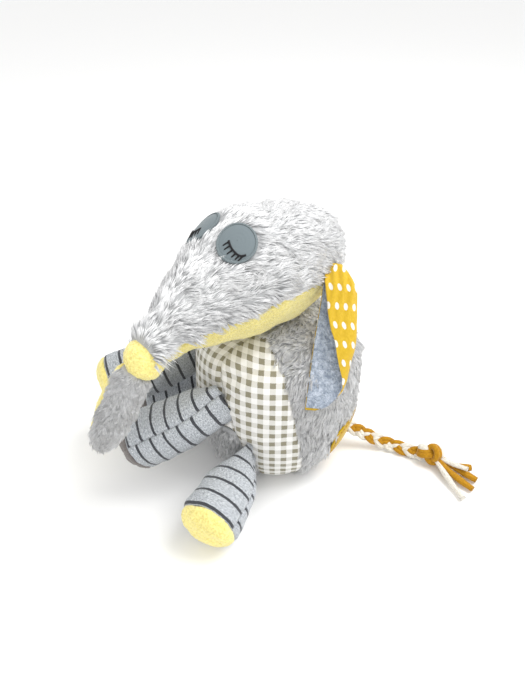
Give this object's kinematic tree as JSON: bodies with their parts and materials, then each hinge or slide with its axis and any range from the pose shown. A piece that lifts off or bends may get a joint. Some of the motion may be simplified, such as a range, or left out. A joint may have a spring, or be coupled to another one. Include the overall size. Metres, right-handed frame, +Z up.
{
  "type": "stuffed elephant",
  "caption": "Sitting patchwork plush elephant: teardrop furry head with a folded trunk, hanging lined ears, checked body, striped padded limbs and a braided tail.",
  "frame": {"origin": "middle of the flat seat, on the surface the elephant sits on", "axes": "+Z up, the elephant looks along -Y, +X is its own left side"},
  "size_m": [0.2393, 0.3476, 0.2662],
  "materials": {
    "gingham": "woven check",
    "grey_fur": "long pile",
    "yellow_fleece": "fleece pile",
    "striped_cotton": "knitted, striped",
    "taupe_satin": "satin",
    "polka_cotton": "printed cotton",
    "blue_terry": "looped terry",
    "eye_felt": "felt with stitched edge",
    "black_thread": "stitched thread",
    "mustard_felt": "felt",
    "mustard_yarn": "jersey yarn",
    "white_yarn": "jersey yarn",
    "stuffing": "loose polyester fill"
  },
  "bodies": {
    "body": {"body_front_panel": "gingham", "body_belly_panel": "grey_fur", "body_left_side_panel": "gingham", "body_right_side_panel": "gingham", "body_left_back_panel": "grey_fur", "body_right_back_panel": "grey_fur", "body_stuffing": "stuffing", "tail_patch": "mustard_felt"},
    "head": {"head_fur_panel": "grey_fur", "head_chin_panel": "yellow_fleece", "head_stuffing": "stuffing", "trunk_bend_fleece": "yellow_fleece", "trunk_bend_stuffing": "stuffing", "left_eye_patch": "eye_felt", "right_eye_patch": "eye_felt", "left_eye_lashes": "black_thread", "right_eye_lashes": "black_thread"},
    "trunk_tip": {"trunk_tip_fur": "grey_fur", "trunk_tip_lining": "yellow_fleece", "trunk_tip_stuffing": "stuffing"},
    "left_ear": {"left_ear_outer": "polka_cotton", "left_ear_lining": "blue_terry"},
    "right_ear": {"right_ear_outer": "polka_cotton", "right_ear_lining": "blue_terry"},
    "left_arm": {"left_arm_upper_panel": "striped_cotton", "left_arm_under_panel": "striped_cotton", "left_arm_stuffing": "stuffing", "left_arm_pad": "taupe_satin"},
    "right_arm": {"right_arm_upper_panel": "striped_cotton", "right_arm_under_panel": "striped_cotton", "right_arm_stuffing": "stuffing", "right_arm_pad": "yellow_fleece"},
    "left_leg": {"left_leg_upper_panel": "striped_cotton", "left_leg_under_panel": "striped_cotton", "left_leg_stuffing": "stuffing", "left_leg_pad": "yellow_fleece"},
    "right_leg": {"right_leg_upper_panel": "striped_cotton", "right_leg_under_panel": "striped_cotton", "right_leg_stuffing": "stuffing", "right_leg_pad": "taupe_satin"},
    "tail": {"tail_braid": "mustard_yarn", "tail_knot": "mustard_yarn", "tail_end_mustard_1": "mustard_yarn", "tail_end_mustard_2": "mustard_yarn", "tail_end_mustard_3": "mustard_yarn", "tail_end_white_1": "white_yarn", "tail_end_white_2": "white_yarn"}
  },
  "joints": [
    {"name": "neck_nod", "type": "hinge", "parent": "body", "child": "head", "pos_m": [0, 0, 0.1615], "axis": [0.9136, 0.4067, 0], "range_deg": [-6, 2.5], "stiffness_Nm_per_rad": 0.9},
    {"name": "trunk_fold", "type": "hinge", "parent": "head", "child": "trunk_tip", "pos_m": [0.0543, -0.12837, 0.17655], "axis": [0.9136, 0.4067, 0], "range_deg": [-25, 25], "stiffness_Nm_per_rad": 0.12},
    {"name": "left_ear_seam", "type": "hinge", "parent": "head", "child": "left_ear", "pos_m": [0.0306, 0.0451, 0.2162], "axis": [-0.3532, -0.9325, 0.076], "range_deg": [0, 25], "stiffness_Nm_per_rad": 0.05},
    {"name": "right_ear_seam", "type": "hinge", "parent": "head", "child": "right_ear", "pos_m": [-0.0613, 0.004, 0.2161], "axis": [-0.15, 0.9712, 0.185], "range_deg": [0, 25], "stiffness_Nm_per_rad": 0.05},
    {"name": "left_arm_seam", "type": "hinge", "parent": "body", "child": "left_arm", "pos_m": [0.04237, -0.06525, 0.105], "axis": [0, 0, 1], "range_deg": [0, 10], "stiffness_Nm_per_rad": 0.15},
    {"name": "right_arm_seam", "type": "hinge", "parent": "body", "child": "right_arm", "pos_m": [-0.04237, -0.06525, 0.105], "axis": [0, 0, 1], "range_deg": [-9, 6], "stiffness_Nm_per_rad": 0.15},
    {"name": "left_leg_seam", "type": "hinge", "parent": "body", "child": "left_leg", "pos_m": [0.05902, -0.04611, 0.046], "axis": [0, 0, 1], "range_deg": [-14, 18], "stiffness_Nm_per_rad": 0.15},
    {"name": "right_leg_seam", "type": "hinge", "parent": "body", "child": "right_leg", "pos_m": [-0.05902, -0.04611, 0.046], "axis": [0, 0, 1], "range_deg": [-15, 4], "stiffness_Nm_per_rad": 0.15},
    {"name": "tail_seam", "type": "hinge", "parent": "body", "child": "tail", "pos_m": [0.0299, 0.0734, 0.024], "axis": [0, 0, 1], "range_deg": [-20, 20], "stiffness_Nm_per_rad": 0.03}
  ]
}
